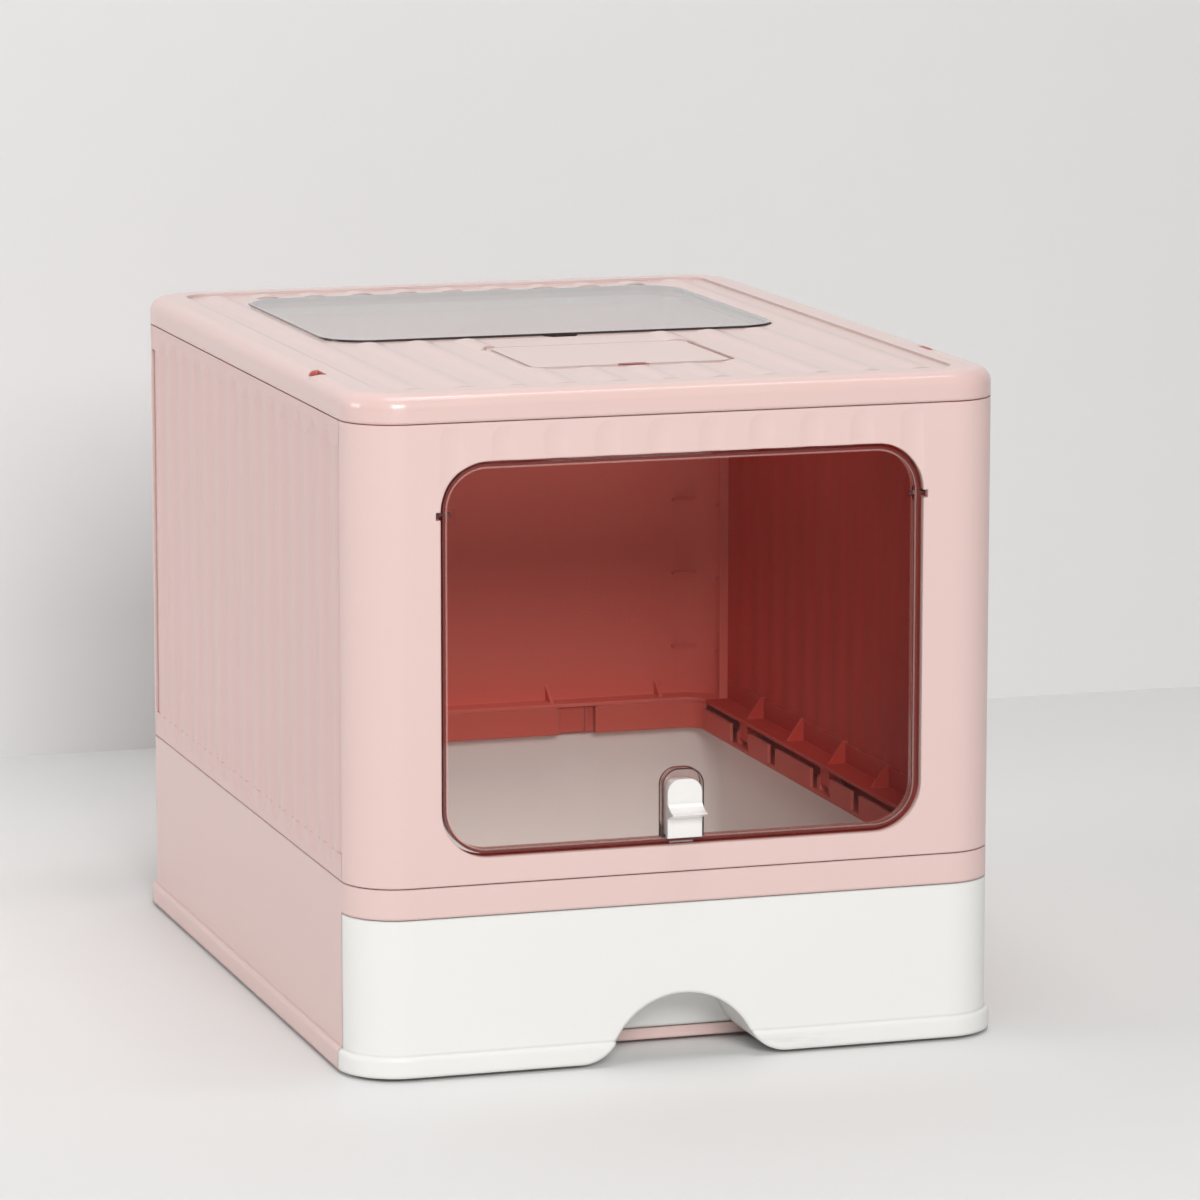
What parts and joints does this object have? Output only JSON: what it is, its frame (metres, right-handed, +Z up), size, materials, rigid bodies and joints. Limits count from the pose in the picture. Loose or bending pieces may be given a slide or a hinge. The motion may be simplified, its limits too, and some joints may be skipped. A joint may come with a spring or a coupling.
{
  "type": "drawer litter box",
  "caption": "Enclosed litter box with folding ribbed walls, a tinted swing door with latch, a lid with window and deodoriser hatch, and a pull-out tray drawer.",
  "frame": {"origin": "on the floor under the middle of the box", "axes": "-Y out of the door and drawer, +Z up, +X to the right of someone who faces the door"},
  "size_m": [0.3916, 0.5256, 0.39],
  "materials": {
    "pink_plastic": "satin injection-moulded plastic, pale pink",
    "side_plastic": "satin injection-moulded plastic, pale pink",
    "lid_plastic": "satin injection-moulded plastic, pale pink",
    "box_plastic": "satin injection-moulded plastic, pink",
    "white_plastic": "satin injection-moulded plastic, white",
    "latch_plastic": "glossy injection-moulded plastic, white",
    "door_tint": "clear plastic with a rose-brown tint",
    "guide_tint": "clear plastic with a light rose tint",
    "window_tint": "clear plastic, greyish",
    "pin_plastic": "dark plastic pin",
    "pin_steel": "drawn steel pin",
    "foot_rubber": "black rubber pad"
  },
  "bodies": {
    "housing": {"base_frame": "pink_plastic", "foot_front_left": "foot_rubber", "foot_front_right": "foot_rubber", "foot_rear_left": "foot_rubber", "foot_rear_right": "foot_rubber", "front_panel": "pink_plastic", "rear_panel": "pink_plastic", "left_pin_front": "pin_steel", "left_pin_middle": "pin_steel", "left_pin_rear": "pin_steel", "right_pin_front": "pin_steel", "right_pin_middle": "pin_steel", "right_pin_rear": "pin_steel", "door_pin_left": "pin_plastic", "door_pin_right": "pin_plastic"},
    "drawer": {"drawer": "white_plastic"},
    "left_wall": {"left_panel": "side_plastic"},
    "right_wall": {"right_panel": "side_plastic"},
    "door": {"door": "door_tint", "latch_guide": "guide_tint"},
    "latch": {"latch_slider": "latch_plastic", "latch_keeper": "latch_plastic"},
    "lid": {"lid": "lid_plastic", "deodoriser_box": "box_plastic", "window_pin_left": "pin_plastic", "window_pin_right": "pin_plastic", "hatch_pin_left": "pin_plastic", "hatch_pin_right": "pin_plastic"},
    "window": {"top_window": "window_tint"},
    "hatch": {"deodoriser_hatch": "lid_plastic"}
  },
  "joints": [
    {"name": "drawer_slide", "type": "slide", "parent": "housing", "child": "drawer", "axis": [0, -1, 0], "range_m": [0, 0.38]},
    {"name": "door_swing", "type": "hinge", "parent": "housing", "child": "door", "pos_m": [0, -0.2455, 0.321], "axis": [1, 0, 0], "range_deg": [-85, 85]},
    {"name": "latch_slide", "type": "slide", "parent": "door", "child": "latch", "axis": [0, 0, 1], "range_m": [-0.0015, 0.004]},
    {"name": "lid_lift", "type": "slide", "parent": "housing", "child": "lid", "axis": [0, 0, 1], "range_m": [0, 0.3]},
    {"name": "window_swing", "type": "hinge", "parent": "lid", "child": "window", "pos_m": [0, 0.1735, 0.386], "axis": [-1, 0, 0], "range_deg": [0, 100]},
    {"name": "hatch_swing", "type": "hinge", "parent": "lid", "child": "hatch", "pos_m": [0, -0.072, 0.386], "axis": [-1, 0, 0], "range_deg": [0, 100]},
    {"name": "left_panel_fold", "type": "hinge", "parent": "housing", "child": "left_wall", "pos_m": [-0.18, 0.004, 0.101], "axis": [0, 1, 0], "range_deg": [0, 90]},
    {"name": "right_panel_fold", "type": "hinge", "parent": "housing", "child": "right_wall", "pos_m": [0.18, 0.004, 0.101], "axis": [0, -1, 0], "range_deg": [0, 85.5]}
  ]
}
